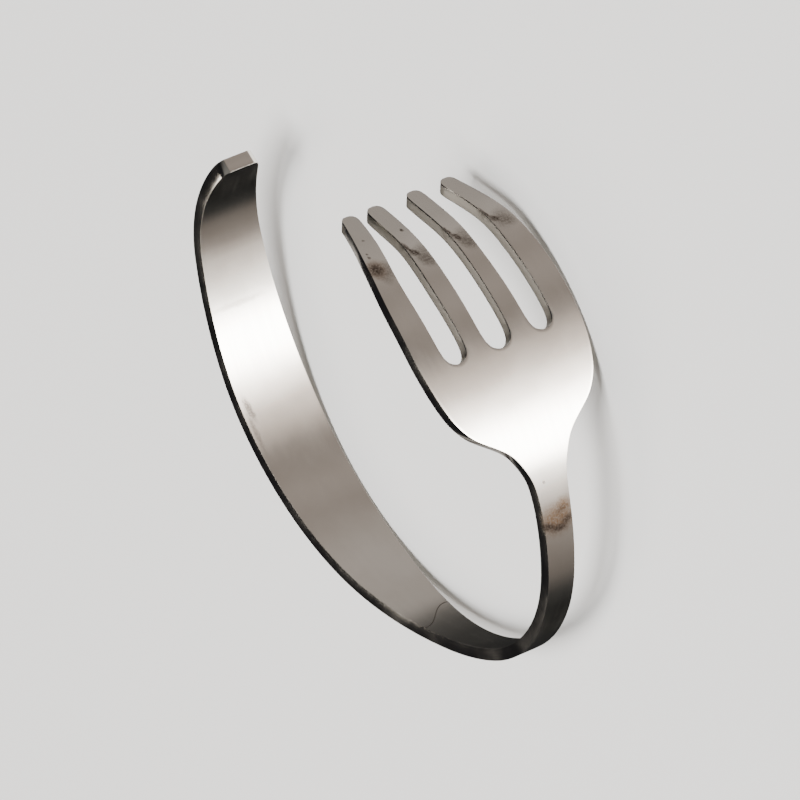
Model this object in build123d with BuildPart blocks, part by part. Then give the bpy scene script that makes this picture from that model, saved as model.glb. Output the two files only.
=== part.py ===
from build123d import *
from math import cos, radians, sin, sqrt
import os

os.makedirs("parts", exist_ok=True)

# Sizes in millimetres and degrees
wrist_radius = 45.0
metal_thickness = 1.6
end_thickness = 1.9
end_swell = 10.0
head_width = 24.4
slot_length = 25.6
edge_round = 0.3
tip_heading = 43.5
tip_straight_share = 0.131
station_step = 4.0
shoulder_step = 1.5
cut_margin = 1.0
tip_round = 0.95
root_share = 0.46
end_round = 0.7

half_head = head_width / 2

# Bends from the tine tips round to the handle's end: radius on the outer face as a share of
# wrist_radius, and sweep in degrees
bends = (
    (0.365, 22.0),
    (0.955, 34.5),
    (0.78, 30.5),
    (0.455, 63.0),
    (0.71, 15.5),
    (0.935, 32.0),
    (1.0, 36.5),
    (1.11, 16.8),
    (0.4, 49.0),
)

# Edges of the four tines, upper rim first: place along the slots as a share of slot_length,
# then both edges of each tine as shares of half the head's width
tine_edges = (
    (0.0, 0.625, 0.45, 0.33, 0.14, -0.165, -0.35, -0.575, -0.755),
    (0.15, 0.72, 0.51, 0.345, 0.145, -0.16, -0.35, -0.625, -0.83),
    (0.31, 0.835, 0.595, 0.36, 0.165, -0.155, -0.345, -0.655, -0.89),
    (0.46, 0.91, 0.665, 0.38, 0.17, -0.16, -0.35, -0.67, -0.945),
    (0.62, 0.965, 0.69, 0.39, 0.17, -0.165, -0.365, -0.685, -0.985),
    (0.81, 0.99, 0.69, 0.385, 0.17, -0.17, -0.385, -0.695, -1.0),
    (1.0, 1.0, 0.69, 0.385, 0.17, -0.17, -0.39, -0.695, -1.0),
)

# Outline from the slots' closed ends to the handle's end: place along that stretch as a share
# of it, and half the width as a share of half the head's width
body_edges = (
    (0.0, 1.0),
    (0.015, 0.965),
    (0.042, 0.895),
    (0.062, 0.755),
    (0.076, 0.55),
    (0.09, 0.36),
    (0.108, 0.252),
    (0.125, 0.195),
    (0.153, 0.176),
    (0.208, 0.164),
    (0.347, 0.157),
    (0.424, 0.19),
    (0.49, 0.27),
    (0.559, 0.37),
    (0.628, 0.422),
    (0.708, 0.446),
    (0.764, 0.448),
    (0.837, 0.418),
    (0.906, 0.38),
    (0.95, 0.338),
    (0.975, 0.293),
    (1.0, 0.228),
)

bend_lengths = [share * wrist_radius * radians(sweep) for share, sweep in bends]
fork_length = tip_straight_share * wrist_radius + sum(bend_lengths)
body_length = fork_length - slot_length


def slopes(rows, column):
    """Slopes at the rows of a table for a curve through them that never overshoots."""
    gaps = [b[0] - a[0] for a, b in zip(rows, rows[1:])]
    rises = [(b[column] - a[column]) / gap for a, b, gap in zip(rows, rows[1:], gaps)]
    result = [rises[0]]
    for before, after, gap_before, gap_after in zip(rises, rises[1:], gaps, gaps[1:]):
        if before * after <= 0:
            result.append(0.0)
        else:
            near = 2 * gap_after + gap_before
            far = gap_after + 2 * gap_before
            result.append((near + far) / (near / before + far / after))
    return result + [rises[-1]]


def read(rows, column, at):
    """Value of a table's column at a place between its rows."""
    at = min(max(at, rows[0][0]), rows[-1][0])
    bends_here = slopes(rows, column)
    i = max(k for k in range(len(rows) - 1) if rows[k][0] <= at)
    gap = rows[i + 1][0] - rows[i][0]
    u = (at - rows[i][0]) / gap
    start = (1 + 2 * u) * (1 - u) ** 2 * rows[i][column] + u * (1 - u) ** 2 * gap * bends_here[i]
    end = u * u * (3 - 2 * u) * rows[i + 1][column] - u * u * (1 - u) * gap * bends_here[i + 1]
    return start + end


def rims(s):
    """Heights of the upper and the lower rim at a length s from the tips."""
    if s < slot_length:
        at = s / slot_length
        return read(tine_edges, 1, at) * half_head, read(tine_edges, 8, at) * half_head
    half = read(body_edges, 1, (s - slot_length) / body_length) * half_head
    return half, -half


def thickness(s):
    """Thickness at a length s from the tips, growing inwards towards the handle's end."""
    rise = min(max((s - fork_length + end_swell) / end_swell, 0.0), 1.0)
    return metal_thickness + (end_thickness - metal_thickness) * rise * rise * (3 - 2 * rise)


def path(s):
    """Point on the outer face at a length s from the tips, and the heading there."""
    heading = radians(tip_heading)
    straight = min(s, tip_straight_share * wrist_radius)
    x = straight * cos(heading)
    y = -straight * sin(heading)
    left = s - straight
    for (share, sweep), length in zip(bends, bend_lengths):
        radius = share * wrist_radius
        turned = heading + min(left, length) / radius
        x += radius * (sin(turned) - sin(heading))
        y += radius * (cos(turned) - cos(heading))
        heading = turned
        left = max(left - length, 0.0)
    return x, y, heading


def rim_points():
    """Corners of the strip's cross sections along the whole fork, in the cuff's own plane."""
    points = []
    count = int(fork_length)
    for k in range(count + 1):
        s = fork_length * k / count
        x, y, heading = path(s)
        for depth in (0.0, thickness(s)):
            for z in rims(s):
                points.append((x - depth * sin(heading), y - depth * cos(heading), z))
    return points


def balance_point():
    """Centre of mass of the strip, less its slots, in the cuff's own plane."""
    total = 0.0
    moment = [0.0, 0.0, 0.0]
    count = int(fork_length)
    for k in range(count):
        s = fork_length * (k + 0.5) / count
        x, y, heading = path(s)
        top, bottom = rims(s)
        width = top - bottom
        if s < slot_length:
            at = s / slot_length
            edges = [read(tine_edges, column, at) * half_head for column in range(2, 8)]
            width -= edges[0] - edges[1] + edges[2] - edges[3] + edges[4] - edges[5]
        depth = thickness(s) / 2
        place = (x - depth * sin(heading), y - depth * cos(heading), (top + bottom) / 2)
        weight = width * thickness(s)
        total += weight
        moment = [m + weight * p for m, p in zip(moment, place)]
    return [m / total for m in moment]


def floor_up(points, centre):
    """Direction of up, in the cuff's own plane, when the cuff has come to rest on a rim."""
    lean = (0.0, 0.0)
    step = 0.1

    def height(lean):
        size = sqrt(lean[0] ** 2 + lean[1] ** 2 + 1)
        up = (lean[0] / size, lean[1] / size, 1 / size)
        lowest = min(sum(a * b for a, b in zip(up, point)) for point in points)
        return sum(a * b for a, b in zip(up, centre)) - lowest

    while step > 0.0001:
        tries = [(lean[0] + step * i, lean[1] + step * j) for i in (-1, 0, 1) for j in (-1, 0, 1)]
        best = min(tries, key=height)
        if height(best) < height(lean):
            lean = best
        else:
            step /= 2
    size = sqrt(lean[0] ** 2 + lean[1] ** 2 + 1)
    return Vector(lean[0] / size, lean[1] / size, 1 / size)


# The cuff's own plane, tilted so that the cuff rests on its lower rim on the floor at Z = 0
points = rim_points()
up = floor_up(points, balance_point())
middle = up + Vector(0, 0, 1)


def tilted(direction):
    turned = direction - middle * (direction.dot(middle) / (1 + up.Z))
    return turned + Vector(0, 0, 2 * direction.dot(up))


x_dir = tilted(Vector(1, 0, 0))
y_dir = tilted(Vector(0, 1, 0))
z_dir = tilted(Vector(0, 0, 1))
spread = [x_dir * p[0] + y_dir * p[1] + z_dir * p[2] for p in points]
corner = Vector(
    (max(p.X for p in spread) + min(p.X for p in spread)) / 2,
    (max(p.Y for p in spread) + min(p.Y for p in spread)) / 2,
    min(p.Z for p in spread),
)


def station(s):
    """Plane across the strip at a length s: x up along the rim-to-rim width, y inwards."""
    x, y, heading = path(s)
    origin = x_dir * x + y_dir * y - corner
    forwards = x_dir * cos(heading) - y_dir * sin(heading)
    return Plane(origin=origin, x_dir=z_dir, z_dir=forwards)


def across(s):
    """Choice of the edges that run through the metal at a length s."""
    plane = station(s)
    slack = metal_thickness / 20

    def chosen(edge):
        off = abs((edge.center() - plane.origin).dot(plane.z_dir))
        return off < slack and abs(edge.length - thickness(s)) < slack

    return chosen


def stations():
    """Lengths of the sections, closer together along the shoulders."""
    shoulder_start = slot_length
    shoulder_end = slot_length + body_edges[8][0] * body_length
    result = []
    for start, end, step in (
        (0.0, shoulder_start, station_step),
        (shoulder_start, shoulder_end, shoulder_step),
        (shoulder_end, fork_length, station_step),
    ):
        count = max(round((end - start) / step), 1)
        result += [start + (end - start) * k / count for k in range(count)]
    return result + [fork_length]


with BuildPart() as fork_cuff:
    # Blank, swept round the wrist
    for s in stations():
        top, bottom = rims(s)
        with BuildSketch(station(s)):
            with Locations(((top + bottom) / 2, thickness(s) / 2)):
                Rectangle(top - bottom, thickness(s))
    loft()

    # Rounded corners of the handle's end
    fillet(fork_cuff.edges().filter_by(across(fork_length)), end_round)

    # Slots between the tines, with round closed ends
    for upper, lower in ((2, 3), (4, 5), (6, 7)):
        count = round(slot_length / station_step)
        for k in range(-1, count + 1):
            s = slot_length * k / count
            at = max(s, 0.0) / slot_length
            top = read(tine_edges, upper, at) * half_head
            bottom = read(tine_edges, lower, at) * half_head
            with BuildSketch(station(s)):
                with Locations(((top + bottom) / 2, metal_thickness / 2)):
                    Rectangle(top - bottom, metal_thickness + 2 * cut_margin)
        loft(mode=Mode.SUBTRACT)
        fillet(fork_cuff.edges().filter_by(across(slot_length)), root_share * (top - bottom))

    # Round tips of the tines
    fillet(fork_cuff.edges().filter_by(across(0)), tip_round)

    # Polished round edges of both faces
    broad = fork_cuff.faces().sort_by(SortBy.AREA)[-2:]
    fillet(broad[0].edges() + broad[1].edges(), edge_round)

fork_cuff.part.label = "fork_cuff"
export_step(fork_cuff.part, "parts/fork_cuff.step")
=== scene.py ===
import bpy
import bmesh
from math import cos, pi, radians, sin, tan
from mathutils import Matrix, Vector


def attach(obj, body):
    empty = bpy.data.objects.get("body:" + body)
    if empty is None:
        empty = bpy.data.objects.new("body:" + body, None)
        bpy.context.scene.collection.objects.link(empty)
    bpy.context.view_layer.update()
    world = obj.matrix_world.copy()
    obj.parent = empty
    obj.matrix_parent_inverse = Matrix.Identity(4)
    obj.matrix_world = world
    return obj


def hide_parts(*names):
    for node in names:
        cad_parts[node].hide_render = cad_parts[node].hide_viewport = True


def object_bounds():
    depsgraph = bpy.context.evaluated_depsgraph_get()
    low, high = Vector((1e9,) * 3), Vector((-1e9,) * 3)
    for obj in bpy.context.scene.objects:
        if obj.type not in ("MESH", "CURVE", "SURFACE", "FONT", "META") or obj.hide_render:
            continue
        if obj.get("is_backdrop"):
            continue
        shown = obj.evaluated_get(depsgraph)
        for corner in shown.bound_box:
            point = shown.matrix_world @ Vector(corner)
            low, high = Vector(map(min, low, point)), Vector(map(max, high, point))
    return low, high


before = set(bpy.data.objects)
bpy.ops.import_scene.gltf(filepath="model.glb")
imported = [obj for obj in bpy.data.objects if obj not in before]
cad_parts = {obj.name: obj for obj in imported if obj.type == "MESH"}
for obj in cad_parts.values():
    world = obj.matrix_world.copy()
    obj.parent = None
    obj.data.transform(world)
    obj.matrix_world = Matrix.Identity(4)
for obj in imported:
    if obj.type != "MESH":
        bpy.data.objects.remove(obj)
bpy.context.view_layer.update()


# --- The blank ---
# A table fork stamped from stainless sheet and still flat, modelled standing on its long edge:
# length along X from the tine tips, width along Z, outer face towards +Y.
MM = 0.001
metal = 1.6 * MM
end_metal = 1.9 * MM
end_swell = 10.0 * MM
half_head = 12.2 * MM
slot_length = 25.6 * MM
wrist_radius = 45.0 * MM
tip_straight = 0.131 * wrist_radius
edge_round = 0.32 * MM

# Bends from the tips to the handle's end: radius as a share of wrist_radius, sweep in degrees
bends = [(0.365, 22.0), (0.955, 34.5), (0.78, 30.5), (0.455, 63.0), (0.71, 15.5), (0.935, 32.0),
         (1.0, 36.5), (1.11, 16.8), (0.4, 49.0)]
fork_length = tip_straight + sum(share * wrist_radius * radians(sweep) for share, sweep in bends)
body_length = fork_length - slot_length

# Places across the blade that carry on down the whole fork, as shares of half its width
column_shares = [-1.0, -0.85, -0.695, -0.62, -0.5425, -0.465, -0.39, -0.28, -0.17, -0.085, 0.0,
                 0.085, 0.17, 0.28, 0.385, 0.46, 0.5375, 0.615, 0.69, 0.845, 1.0]

# Stretch from the handle's end to the slots' closed ends: share of that stretch, counted from
# the slots, and half width as a share of half the head
body_rows = [
    (1.0, 0.155), (0.998, 0.204), (0.9938, 0.235), (0.986, 0.262), (0.975, 0.293), (0.95, 0.338),
    (0.928, 0.361), (0.906, 0.38), (0.872, 0.4), (0.837, 0.418), (0.8, 0.436), (0.764, 0.448),
    (0.736, 0.45), (0.708, 0.446), (0.668, 0.437), (0.628, 0.422), (0.594, 0.4), (0.559, 0.37),
    (0.525, 0.324), (0.49, 0.27), (0.457, 0.223), (0.424, 0.19), (0.386, 0.167), (0.347, 0.157),
    (0.3, 0.157), (0.254, 0.16), (0.208, 0.164), (0.18, 0.169), (0.153, 0.176), (0.138, 0.184),
    (0.125, 0.195), (0.116, 0.216), (0.108, 0.252), (0.099, 0.3), (0.09, 0.36), (0.083, 0.445),
    (0.076, 0.55), (0.069, 0.665), (0.062, 0.755), (0.052, 0.837), (0.042, 0.895), (0.028, 0.94),
    (0.013, 0.975),
]

# Both edges of each slot and of each tine where they meet the blade, as shares of half the head
slot_edges = ((-0.695, -0.39), (-0.17, 0.17), (0.385, 0.69))
tine_roots = ((-1.0, -0.695), (-0.39, -0.17), (0.17, 0.385), (0.69, 1.0))

# Edges of each tine from the slots' closed ends to its tip: share of the slots' length, lower and
# upper edge as shares of half the head
tine_rows = [
    [(0.81, -1.0, -0.695), (0.71, -0.995, -0.69), (0.62, -0.985, -0.685), (0.54, -0.967, -0.678),
     (0.46, -0.945, -0.67), (0.38, -0.92, -0.663), (0.31, -0.89, -0.655), (0.23, -0.861, -0.642),
     (0.15, -0.83, -0.625), (0.09, -0.804, -0.605), (0.045, -0.78, -0.592)],
    [(0.81, -0.385, -0.17), (0.71, -0.375, -0.167), (0.62, -0.365, -0.165), (0.54, -0.357, -0.163),
     (0.46, -0.35, -0.16), (0.38, -0.347, -0.157), (0.31, -0.345, -0.155), (0.23, -0.347, -0.157),
     (0.15, -0.35, -0.16), (0.09, -0.351, -0.162), (0.045, -0.351, -0.164)],
    [(0.81, 0.17, 0.385), (0.71, 0.17, 0.388), (0.62, 0.17, 0.39), (0.54, 0.17, 0.386),
     (0.46, 0.17, 0.38), (0.38, 0.168, 0.37), (0.31, 0.165, 0.36), (0.23, 0.154, 0.352),
     (0.15, 0.145, 0.345), (0.09, 0.142, 0.339), (0.045, 0.14, 0.334)],
    [(0.81, 0.69, 0.99), (0.71, 0.69, 0.98), (0.62, 0.69, 0.965), (0.54, 0.682, 0.941),
     (0.46, 0.665, 0.91), (0.38, 0.632, 0.875), (0.31, 0.595, 0.835), (0.23, 0.551, 0.78),
     (0.15, 0.51, 0.72), (0.09, 0.485, 0.682), (0.045, 0.466, 0.651)],
]

# Round tips: length from the very tip, and how much of the row before it is left
tip_rows = [(0.55 * MM, 0.9), (0.18 * MM, 0.74), (0.0, 0.5)]


def pick(wanted):
    """Selects the vertices of the piece in edit mode whose place passes the test, and no others."""
    bpy.ops.mesh.select_all(action="DESELECT")
    mesh = bmesh.from_edit_mesh(bpy.context.edit_object.data)
    for vertex in mesh.verts:
        vertex.select = wanted(vertex.co)
    mesh.select_flush(True)
    bmesh.update_edit_mesh(bpy.context.edit_object.data)


def near(a, b, slack=0.02 * MM):
    return abs(a - b) < slack


def grow(x, next_x, widen, step_z=0.0, middle=0.0):
    """Draws the selected row out from x to next_x, and widens the new row about its middle."""
    bpy.ops.mesh.extrude_region_move(TRANSFORM_OT_translate={"value": (next_x - x, 0, step_z)})
    bpy.ops.transform.resize(value=(1, 1, widen), center_override=(next_x, 0, middle))


def shape(name, kind, **settings):
    """Adds a modifier to the fork with its settings, and applies it."""
    modifier = fork.modifiers.new(name, kind)
    for setting, value in settings.items():
        setattr(modifier, setting, value)
    bpy.ops.object.modifier_apply(modifier=name)


bpy.ops.object.select_all(action="DESELECT")
last_column = len(column_shares) - 1
bpy.ops.mesh.primitive_grid_add(x_subdivisions=1, y_subdivisions=last_column, size=2,
                                rotation=(pi / 2, 0, 0))
fork = bpy.context.object
fork.name = "bent_fork"
bpy.ops.object.transform_apply(rotation=True)
bpy.ops.object.mode_set(mode="EDIT")

# The grid's even columns move to their shares
for k, share in enumerate(column_shares):
    even = -1 + 2 * k / last_column
    pick(lambda co: near(co.z, even))
    bpy.ops.transform.translate(value=(0, 0, share - even))

# Its one row of faces becomes the last stretch of the handle
for side, (share, half) in ((1, body_rows[0]), (-1, body_rows[1])):
    x = slot_length + share * body_length
    pick(lambda co: co.x * side > 0)
    bpy.ops.transform.resize(value=(1, 1, half * half_head), center_override=(0, 0, 0))
    bpy.ops.transform.translate(value=(x - side, 0, 0))

# Handle, shank, neck and shoulders are drawn out from it, row by row
for share, next_half in body_rows[2:]:
    next_x = slot_length + share * body_length
    grow(x, next_x, next_half / half)
    x, half = next_x, next_half

# The blade's front row, where the slots' side walls end: back from their closed ends by half the
# width of an outer slot
front_x = slot_length - 0.1525 * half_head
grow(x, front_x, 1.0 / half)

# Round closed ends of the slots, pressed back into the blade a little past a half circle, because
# smoothing draws them in again
bulge = 1.1
for low, high in slot_edges:
    middle = (low + high) / 2 * half_head
    radius = (high - low) / 2 * half_head
    for step in (-1, 0, 1):
        start_z = step * radius / 2
        pick(lambda co: near(co.x, front_x) and near(co.z, middle + start_z))
        end_x = bulge * radius * cos(step * pi / 4)
        end_z = bulge * radius * sin(step * pi / 4)
        bpy.ops.transform.translate(value=(end_x, 0, end_z - start_z))

# Tines, each drawn out from its own edge of the blade
for (low, high), rows in zip(tine_roots, tine_rows):
    middle = (low + high) / 2 * half_head
    reach = (high - low) / 2 * half_head + 0.1 * MM
    pick(lambda co: near(co.x, front_x) and near(co.z, middle, reach))
    x = front_x
    for share, next_low, next_high in rows:
        next_x = share * slot_length
        next_middle = (next_low + next_high) / 2 * half_head
        widen = (next_high - next_low) / (high - low)
        grow(x, next_x, widen, next_middle - middle, next_middle)
        x, low, high, middle = next_x, next_low, next_high, next_middle
    for next_x, keep in tip_rows:
        grow(x, next_x, keep, 0, middle)
        x = next_x

bpy.ops.object.mode_set(mode="OBJECT")

# Smoothed outline, then the sheet's thickness on the inner side
shape("outline", "SUBSURF", levels=2, render_levels=2, boundary_smooth="ALL")
shape("sheet", "SOLIDIFY", thickness=metal, offset=1.0)
bpy.ops.object.mode_set(mode="EDIT")
bpy.ops.mesh.select_all(action="SELECT")
bpy.ops.mesh.normals_make_consistent(inside=False)

# The handle's end is a little thicker, on its inner face
pick(lambda co: co.y > -metal / 2)
bpy.ops.mesh.hide()
pick(lambda co: co.y < -metal / 2 and near(co.x, fork_length, 0.3 * MM))
bpy.ops.transform.translate(value=(0, metal - end_metal, 0), use_proportional_edit=True,
                            proportional_edit_falloff="SMOOTH", proportional_size=end_swell)
bpy.ops.mesh.reveal(select=False)
bpy.ops.object.mode_set(mode="OBJECT")

# Polished round edges
shape("edges", "BEVEL", limit_method="ANGLE", angle_limit=radians(50), width=edge_round, segments=4)

# Where each spot lay on the flat blank, kept for the wear marks
blank_places = fork.data.attributes.new("blank_place", "FLOAT_VECTOR", "POINT")
for vertex, blank_place in zip(fork.data.vertices, blank_places.data):
    blank_place.vector = vertex.co


# --- The bend ---
# The blank is rolled round an oval mandrel, tines first, in nine arcs that run into each other.
# It then lies on its side, and rests on the lower rim of the blade and of the handle.
tip_heading = 43.5
longest_arc = 20

# Turn in degrees and shift in millimetres that lay the bent fork on the floor
rest_turn = (4.8451, -6.396, -0.2709)
rest_shift = (17.1541, 22.2783, 12.8014)


def towards(heading):
    return Vector((cos(heading), -sin(heading), 0))


# Knots of the mandrel's line, each with its place and the arms before and after it
heading = radians(tip_heading)
spot = towards(heading) * tip_straight
arm = towards(heading) * tip_straight / 3
knots = [[Vector((0, 0, 0)), -arm, arm], [spot, -arm, arm]]
for share, sweep in bends:
    radius = share * wrist_radius
    arcs = 1 + int(sweep // longest_arc)
    turn = radians(sweep) / arcs
    reach = 4 / 3 * tan(turn / 4) * radius
    for arc in range(arcs):
        knots[-1][2] = towards(heading) * reach
        start, heading = heading, heading + turn
        spot = spot + radius * Vector((sin(heading) - sin(start), cos(heading) - cos(start), 0))
        arm = towards(heading) * reach
        knots.append([spot, -arm, arm])

mandrel_line = bpy.data.curves.new("mandrel_line", "CURVE")
mandrel_line.dimensions = "2D"
mandrel_line.resolution_u = 48
spline = mandrel_line.splines.new("BEZIER")
spline.bezier_points.add(len(knots) - 1)
for point, (spot, before, after) in zip(spline.bezier_points, knots):
    point.handle_left_type = point.handle_right_type = "FREE"
    point.co = spot
    point.handle_left = spot + before
    point.handle_right = spot + after
mandrel = bpy.data.objects.new("mandrel", mandrel_line)
bpy.context.scene.collection.objects.link(mandrel)
shape("bend", "CURVE", object=mandrel, deform_axis="POS_X")
bpy.data.objects.remove(mandrel)

fork.rotation_euler = [radians(turned) for turned in rest_turn]
fork.location = Vector(rest_shift) * MM
bpy.ops.object.transform_apply(location=True, rotation=True, scale=True)
bpy.ops.object.shade_smooth_by_angle(angle=radians(40))

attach(fork, "root")
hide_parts("fork_cuff")


# --- The steel ---
# Bright polished stainless steel, rubbed lengthwise. The side walls of the slots are left as they
# Brown tarnish sits at the bends of the tines and on the neck, with a few pits. Soft dark ovals
# across each tine's bend are painted shade, standing in for the dark reflection that the bend
# mirrors.
metal_tints = (0.62, 0.592, 0.535, 1), (0.66, 0.637, 0.58, 1)
tarnish_tint = (0.3, 0.2, 0.125, 1)
stain_and_shade_tint = (0.1, 0.078, 0.062, 1)
wall_roughness = 0.5

# Dark stains, painted shade and brown tarnish, one soft oval a row: place along the blank, depth of
# its face, place across it, half length and half width in millimetres, turn in degrees, strength
outer, inner = 0.0, -1.6
stain_and_shade_ovals = [
    # Each tine: a dark stain at its bend (with a thin hook on tines 2 to 4), then a softer oval of
    # painted shade after it, standing in for the dark reflection in the bend
    (10.4, outer, 9.8, 1.3, 1.15, 0, 1.0), (11.7, outer, 9.3, 1.3, 1.0, 0, 0.4),
    (9.2, outer, 4.15, 1.5, 0.3, 10, 1.0), (10.2, outer, 3.75, 1.1, 0.65, 35, 1.0),
    (11.4, outer, 3.0, 1.6, 1.15, 40, 0.7),
    (9.2, outer, -2.1, 1.5, 0.27, 10, 1.0), (10.3, outer, -2.6, 1.1, 0.6, 35, 1.0),
    (11.3, outer, -3.4, 1.6, 1.15, 40, 0.7),
    (8.7, outer, -8.2, 1.6, 0.25, 10, 1.0), (9.9, outer, -8.8, 1.1, 0.65, 45, 1.0),
    (10.4, outer, -9.8, 1.7, 1.15, 60, 0.7),
    # Broad soft ovals across each tine at its bend: painted shade for the dark reflection there
    (11.0, outer, 8.7, 1.5, 1.7, 20, 0.5), (10.6, outer, 2.9, 1.5, 1.7, 30, 0.5),
    (10.6, outer, -3.6, 1.5, 1.7, 30, 0.5), (10.2, outer, -9.6, 1.6, 1.9, 45, 0.5),
    (6.0, outer, 2.75, 0.34, 0.28, 0, 1.0), (8.3, outer, 9.45, 0.28, 0.24, 0, 1.0),
    (7.7, outer, 9.3, 0.22, 0.17, 0, 0.8), (5.2, outer, 8.1, 0.3, 0.24, 0, 0.6),
    (43.1, outer, 1.1, 0.25, 0.22, 0, 0.7),
    (48.9, outer, 1.5, 0.6, 1.3, -20, 1.0), (49.5, outer, 0.0, 0.55, 1.4, 0, 1.0),
    (48.8, outer, -1.3, 0.6, 1.1, 25, 0.8), (47.2, outer, -0.7, 0.5, 1.1, 15, 0.45),
    (133.6, inner, 4.35, 2.0, 0.6, -8, 0.8), (130.6, inner, 4.8, 3.2, 0.4, 0, 0.5),
    (147.3, inner, 1.0, 0.5, 4.6, 0, 0.4),
]
tarnish = [
    (48.2, outer, 0.2, 2.3, 3.2, 0, 1.0), (46.9, outer, -1.0, 1.3, 1.5, 0, 1.0),
    (10.4, outer, 9.8, 1.7, 1.5, 0, 0.7),
]
mark_depth = 1.2 * MM
ragged_edge = 0.55 * MM

steel = bpy.data.materials.new("polished_steel")
steel.use_nodes = True
tree = steel.node_tree
shader = tree.nodes["Principled BSDF"]


def fit(kind, feeds, output=None, **settings):
    """Adds a node to the tree at hand, feeds its sockets, and returns the output asked for."""
    made = tree.nodes.new("ShaderNode" + kind)
    for name, setting in settings.items():
        setattr(made, name, setting)
    for socket, feed in feeds.items():
        if isinstance(feed, bpy.types.NodeSocket):
            tree.links.new(feed, made.inputs[socket])
        else:
            made.inputs[socket].default_value = feed
    if output:
        return made.outputs[output]
    return next(socket for socket in made.outputs if socket.enabled)


def work(operation, first, second=0.0, third=0.0):
    return fit("Math", {0: first, 1: second, 2: third}, operation=operation)


def ramp(amount, low, high, to_low=0.0, to_high=1.0):
    """Amount brought softly from low to high into to_low to to_high, and held at both ends."""
    return fit("MapRange", {"Value": amount, "From Min": low, "From Max": high, "To Min": to_low,
                            "To Max": to_high}, interpolation_type="SMOOTHSTEP")


def blend(share, first, second):
    return fit("Mix", {"Factor": share, "A": first, "B": second}, data_type="RGBA")


def noise(vector, scale, detail, roughness, output=None):
    feeds = {"Vector": vector, "Scale": scale, "Detail": detail, "Roughness": roughness}
    return fit("TexNoise", feeds, output)


flat_place = fit("Attribute", {}, "Vector", attribute_name="blank_place")
along, depth, across = fit("SeparateXYZ", {0: flat_place}).node.outputs

# Rubbing marks: long thin streaks, finer hairs, slow waves in the face, broad clouds in the
# polish, and fine grit in the stains
streaks = noise(fit("Mapping", {"Vector": flat_place, "Scale": (60, 1, 1400)}), 1.0, 5.0, 0.65)
hairs = noise(fit("Mapping", {"Vector": flat_place, "Scale": (160, 1, 5200)}), 1.0, 3.0, 0.6)
waves = noise(flat_place, 150.0, 1.0, 0.4)
clouds = noise(flat_place, 190.0, 4.0, 0.55)
grit = noise(flat_place, 3800.0, 3.0, 0.7)

# Ragged edges for the stains
shift = noise(flat_place, 1500.0, 3.0, 0.6, "Color")
shift = fit("VectorMath", {0: shift, 1: (0.5, 0.5, 0.5)}, operation="SUBTRACT")
shift = fit("VectorMath", {0: shift, "Scale": ragged_edge}, operation="SCALE")
ragged_place = fit("VectorMath", {0: flat_place, 1: shift}, operation="ADD")


def marked(rows):
    """Mask of the soft ovals in a table, full in their middle and gone a little past their edge."""
    mask = 0.0
    for s, face, z, half_length, half_width, turned, strength in rows:
        oval = fit("Mapping", {"Vector": ragged_place, "Location": (s * MM, face * MM, z * MM),
                               "Rotation": (0, radians(turned), 0),
                               "Scale": (half_length * MM, mark_depth, half_width * MM)},
                   vector_type="TEXTURE")
        away = fit("VectorMath", {0: oval}, "Value", operation="LENGTH")
        mask = work("MAXIMUM", mask, ramp(away, 1.3, 0.3, 0.0, strength))
    return mask


# Dark mask: the stains and pits, together with the painted shade at the tines' bends
dark = work("MULTIPLY", marked(stain_and_shade_ovals), ramp(grit, 0.33, 0.6, 0.5, 1.0))
brown = work("MULTIPLY", marked(tarnish), ramp(grit, 0.3, 0.6, 0.45, 1.0))

# A thin line winds across the inner face, where the neck was ground
line_place = 93.85 * MM
line_swing = 1.65 * MM
line_winding = 620.0
swing = work("SINE", work("MULTIPLY", across, line_winding))
winding = work("MULTIPLY_ADD", swing, line_swing, along)
line_distance = work("ABSOLUTE", work("SUBTRACT", winding, line_place))
inner_face = ramp(depth, -1.2 * MM, -1.5 * MM)
ground = work("MULTIPLY", ramp(line_distance, 0.16 * MM, 0.04 * MM), inner_face)
dark = work("MAXIMUM", dark, work("MULTIPLY", ground, 0.75))

# Side walls of the slots and of the tips, inside the head's outer rims, which widen from 7.3 mm
# at the tips over the first 12.5 mm
widening = work("MINIMUM", along, 12.5 * MM)
rim = work("MULTIPLY_ADD", widening, 0.24, 7.3 * MM)
inside = work("LESS_THAN", work("ABSOLUTE", across), rim)
tips = ramp(along, 2.4 * MM, 1.0 * MM)
ahead = work("LESS_THAN", along, slot_length + 0.5 * MM)
below_round = ramp(depth, -0.14 * MM, -0.26 * MM)
above_round = ramp(depth, -1.6 * MM, -1.5 * MM)
wall = work("MULTIPLY", work("MULTIPLY", work("MAXIMUM", inside, tips), ahead),
            work("MULTIPLY", below_round, above_round))

# Colour
clean = blend(ramp(clouds, 0.3, 0.7), *metal_tints)
tarnished = blend(brown, clean, tarnish_tint)
# The dark mask puts the stains and, at the tines' bends, painted shade into the base colour
tree.links.new(blend(dark, tarnished, stain_and_shade_tint), shader.inputs["Base Color"])
shader.inputs["Metallic"].default_value = 1.0

# Polish: duller on the round edges, in the stains and the painted shade, and on the punched walls
faces = ramp(clouds, 0.3, 0.7, 0.12, 0.17)
rubbed = work("ADD", faces, ramp(streaks, 0.3, 0.7, -0.02, 0.03))
rounds = work("MULTIPLY", ramp(depth, 0.0, -0.06 * MM), ramp(depth, -1.6 * MM, -1.54 * MM))
worn = work("MULTIPLY_ADD", rounds, ramp(clouds, 0.35, 0.65, 0.0, 0.06), rubbed)
worn = work("MULTIPLY_ADD", work("MAXIMUM", dark, brown), 0.2, worn)
roughness = work("MAXIMUM", worn, work("MULTIPLY", wall, wall_roughness))
tree.links.new(roughness, shader.inputs["Roughness"])

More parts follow.
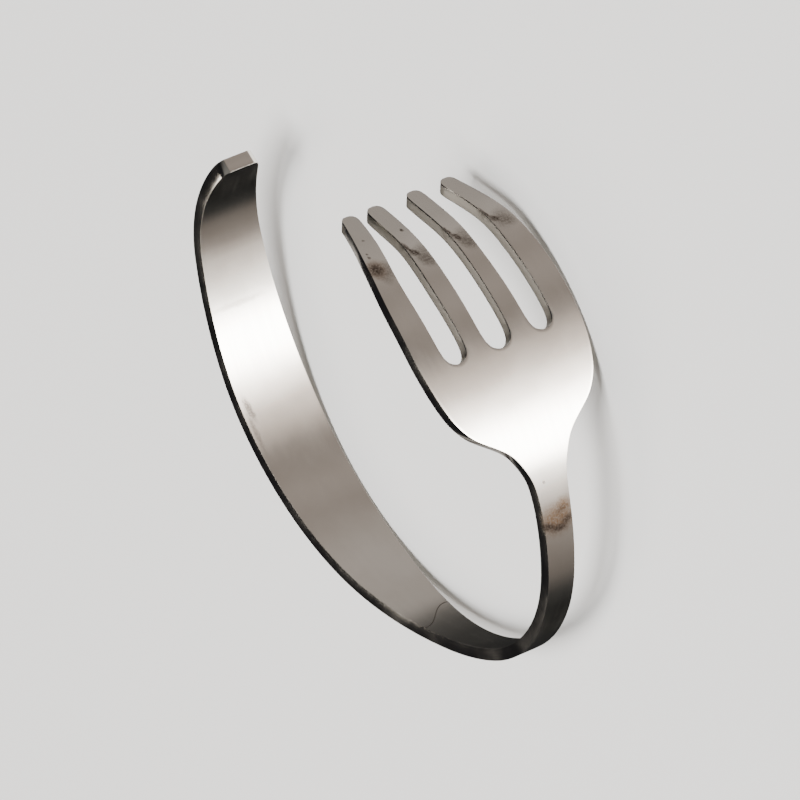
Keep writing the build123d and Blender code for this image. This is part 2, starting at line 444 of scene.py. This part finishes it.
# Relief: slow waves, and over them the rubbing marks, with the eaten-in stains and the painted
# shade pressed in
rubs = work("ADD", work("MULTIPLY", streaks, 0.6), work("MULTIPLY", hairs, 0.4))
relief = work("SUBTRACT", rubs, work("MULTIPLY", dark, 0.5))
wavy = fit("Bump", {"Height": waves, "Strength": 1.0, "Distance": 0.03 * MM})
rubbed_face = fit("Bump", {"Height": relief, "Strength": 0.05, "Distance": 0.02 * MM,
                           "Normal": wavy})
tree.links.new(rubbed_face, shader.inputs["Normal"])

fork.data.materials.clear()
fork.data.materials.append(steel)


# --- The floor, the light and the camera ---
# A pale matt floor that runs on far behind, under soft lamps. Polished steel mirrors the room
# instead of the floor: bright on one side, warm grey round the tines, dark behind.
bpy.ops.mesh.primitive_plane_add(size=6, location=(0, 0, 0))
floor = bpy.context.object
floor.name = "floor"
floor.visible_glossy = False
paper = bpy.data.materials.new("pale_paper")
paper.use_nodes = True
paper_shader = paper.node_tree.nodes["Principled BSDF"]
paper_shader.inputs["Base Color"].default_value = (0.8, 0.79, 0.77, 1)
paper_shader.inputs["Roughness"].default_value = 0.9
floor.data.materials.append(paper)
floor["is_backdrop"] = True

# What the steel mirrors: direction round the room in degrees, brightness, warmth of its colour
room_sides = [
    (-180, 0.025, 0.0), (-150, 0.025, 0.0), (-118, 0.018, 0.0), (-102, 0.035, 0.0),
    (-90, 0.06, 0.02), (-82, 0.12, 0.08), (-74, 0.22, 0.12), (-62, 0.32, 0.12), (-52, 0.46, 0.12),
    (-44, 0.85, 0.1), (-36, 1.9, 0.08), (-28, 5.0, 0.04), (-20, 26.0, 0.03), (-12, 26.0, 0.03),
    (-3, 6.8, 0.07), (5, 2.1, 0.11), (12, 1.15, 0.13), (18, 0.52, 0.11), (24, 0.36, 0.13),
    (34, 0.46, 0.12), (43, 0.38, 0.13), (54, 0.5, 0.1), (64, 0.56, 0.09), (92, 0.5, 0.08),
    (99, 0.2, 0.06), (106, 0.11, 0.04), (120, 0.055, 0.02), (144, 0.032, 0.0), (180, 0.02, 0.0),
]
brightest = max(bright for degree, bright, warmth in room_sides)

# Other tones of the room, as shares of the brightest
dark_above = (0.0006, 0.0006, 0.0007, 1)
dim_above = (0.012, 0.0118, 0.0115, 1)
pale_below = (0.1, 0.098, 0.095, 1)
lit_patch = (0.034, 0.0325, 0.031, 1)

world = bpy.data.worlds.new("room")
bpy.context.scene.world = world
world.use_nodes = True
tree = world.node_tree

# Direction seen: height is the sine of its angle above the floor, and around goes once round the
# room, from 0 at -180 degrees to 1 at 180
facing = fit("TexCoord", {}, "Generated")
height = fit("SeparateXYZ", {0: facing}).node.outputs["Z"]
around = fit("TexGradient", {"Vector": facing}, "Fac", gradient_type="RADIAL")
sides = fit("ValToRGB", {0: around})
stops = sides.node.color_ramp.elements
for degree, bright, warmth in room_sides[1:-1]:
    stops.new((degree + 180) / 360)
for stop, (degree, bright, warmth) in zip(stops, room_sides):
    tone = bright / brightest
    stop.color = (tone * (1 + warmth), tone * (1 - 0.1 * warmth), tone * (1 - 0.7 * warmth), 1)

# Above eye level the room is dark behind and dim in front; straight below lies the pale floor
front = work("MULTIPLY", ramp(around, 0.2, 0.28), ramp(around, 0.64, 0.57))
above = blend(front, dark_above, dim_above)
below = blend(ramp(height, -0.74, -0.88), sides, pale_below)
room = blend(ramp(height, 0.02, -0.28), above, below)

# Behind, light falls in patches on the far wall and on the floor in front of it
patches = noise(facing, 1.7, 1.0, 0.4)
behind = work("MAXIMUM", ramp(around, 0.2, 0.14), ramp(around, 0.82, 0.88))
on_wall = work("MULTIPLY", ramp(height, -0.48, -0.41), ramp(height, -0.06, -0.14))
on_floor = work("MULTIPLY", ramp(height, -0.635, -0.67), ramp(height, -0.88, -0.74))
lit = work("MULTIPLY", work("MAXIMUM", on_wall, on_floor), ramp(patches, 0.35, 0.55, 0.25, 1.0))
room = blend(work("MULTIPLY", behind, lit), room, lit_patch)
tree.links.new(room, tree.nodes["Background"].inputs["Color"])
tree.nodes["Background"].inputs["Strength"].default_value = brightest


def lamp(name, place, size, power):
    """A soft square lamp at a place, facing the cuff."""
    data = bpy.data.lights.new(name, "AREA")
    data.size = size
    data.energy = power
    hung = bpy.data.objects.new(name, data)
    hung.location = place
    hung.rotation_euler = (-Vector(place)).to_track_quat("-Z", "Y").to_euler()
    bpy.context.scene.collection.objects.link(hung)
    return hung


overhead = lamp("overhead", (0.1, -0.1, 1.1), 0.6, 26)
overhead.visible_glossy = False
window = lamp("window", (-0.52, -0.19, 0.95), 0.5, 4)
window.data.color = (1.0, 0.93, 0.86)

camera_data = bpy.data.cameras.new("camera")
camera_data.lens = 363.13
camera_data.sensor_width = 36
camera_data.clip_end = 20
camera = bpy.data.objects.new("camera", camera_data)
camera.location = (0.81156, -0.04743, 0.60723)
camera.rotation_euler = (radians(-21.0721), radians(50.5373), radians(-29.81))
bpy.context.scene.collection.objects.link(camera)
bpy.context.scene.camera = camera

low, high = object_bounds()
